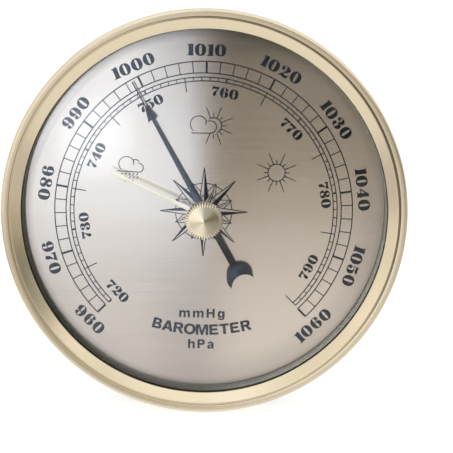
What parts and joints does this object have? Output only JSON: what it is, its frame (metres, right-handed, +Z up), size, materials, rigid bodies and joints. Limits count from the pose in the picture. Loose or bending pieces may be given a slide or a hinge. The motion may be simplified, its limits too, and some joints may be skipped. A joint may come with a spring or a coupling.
{
  "type": "aneroid barometer",
  "caption": "Round wall aneroid barometer: gold ring, domed glass, brushed dial with pressure scales, blued pointer, brass setting hand on a knob, capsule movement.",
  "frame": {"origin": "on the pointer's axis, at the wall face", "axes": "+Z up on the dial, +X to the reader's right, +Y into the wall; the dial faces -Y"},
  "size_m": [0.128, 0.047, 0.128],
  "materials": {
    "case_black": "moulded, fine satin grain",
    "zinc_steel": "zinc plated",
    "screw_steel": "turned, bright",
    "bezel_gold": "turned and anodised, champagne gold, satin",
    "lens_glass": "polished",
    "gasket_rubber": "matt",
    "spacer_black": "semi-gloss black",
    "dial_metal": "horizontally brushed, printed in black",
    "knob_brass": "turned, knurled, lacquered",
    "hand_brass": "pale, polished",
    "pointer_blue": "blued steel, satin",
    "movement_brass": "brushed",
    "arbor_steel": "ground",
    "spring_steel": "tempered",
    "capsule_metal": "pressed nickel silver, satin"
  },
  "bodies": {
    "case": {"case_cup": "case_black", "hanger_plate": "zinc_steel", "hanger_rivets": "zinc_steel", "bezel": "bezel_gold", "bezel_screws": "screw_steel", "lens": "lens_glass", "lens_gasket": "gasket_rubber", "spacer_ring": "spacer_black", "dial": "dial_metal", "dial_pins": "arbor_steel", "setting_bush": "knob_brass", "base_plate": "movement_brass", "movement_screws": "screw_steel", "movement_pillars": "movement_brass", "bridge_plate": "movement_brass", "pillar_screws": "screw_steel", "top_plate": "movement_brass", "top_plate_posts": "movement_brass", "top_plate_screws": "screw_steel", "rocker_brackets": "movement_brass", "capsule_lower": "capsule_metal", "capsule_upper": "capsule_metal", "capsule_base_stud": "movement_brass", "hairspring": "spring_steel", "hairspring_stud": "movement_brass"},
    "pointer_set": {"pointer": "pointer_blue", "pointer_bush": "knob_brass", "pointer_arbor": "arbor_steel", "pinion": "movement_brass", "hairspring_collet": "movement_brass"},
    "sector": {"sector_gear": "movement_brass", "sector_arbor": "arbor_steel"},
    "rocker": {"rocking_shaft": "arbor_steel", "lift_arm": "movement_brass", "drive_arm": "movement_brass"},
    "capsule_top": {"capsule_top_stud": "movement_brass"},
    "setting": {"setting_knob": "knob_brass", "setting_arbor": "knob_brass", "setting_hand": "hand_brass", "setting_nut": "knob_brass", "wave_washer": "spring_steel"},
    "adjuster": {"adjusting_screw": "screw_steel"}
  },
  "joints": [
    {"name": "sector_turn", "type": "hinge", "parent": "case", "child": "sector", "pos_m": [0.02225, -0.02, 0.00899], "axis": [0, 1, 0], "range_deg": [-10.99, 7.01]},
    {"name": "pointer_turn", "type": "hinge", "parent": "case", "child": "pointer_set", "pos_m": [0, -0.029, 0], "axis": [0, 1, 0], "range_deg": [-105.2, 164.8], "deforming": ["hairspring"]},
    {"name": "rocker_turn", "type": "hinge", "parent": "case", "child": "rocker", "pos_m": [0.0047, -0.0159, 0.00899], "axis": [1, 0, 0], "range_deg": [-5.48, 8.58]},
    {"name": "capsule_press", "type": "slide", "parent": "case", "child": "capsule_top", "axis": [0, 1, 0], "range_m": [-0.00046, 0.00072], "deforming": ["capsule_upper"]},
    {"name": "setting_hand_turn", "type": "hinge", "parent": "case", "child": "setting", "pos_m": [0, -0.04, 0], "axis": [0, 1, 0], "continuous": true},
    {"name": "adjuster_turn", "type": "hinge", "parent": "case", "child": "adjuster", "pos_m": [-0.009, -0.005, 0.00419], "axis": [0, 1, 0], "range_deg": [-180, 180]}
  ],
  "couplings": [
    {"joint": "pointer_turn", "follows": "sector_turn", "ratio": -15},
    {"joint": "rocker_turn", "follows": "sector_turn", "ratio": -0.78049},
    {"joint": "capsule_press", "follows": "sector_turn", "m_per_rad": -0.0037463}
  ]
}
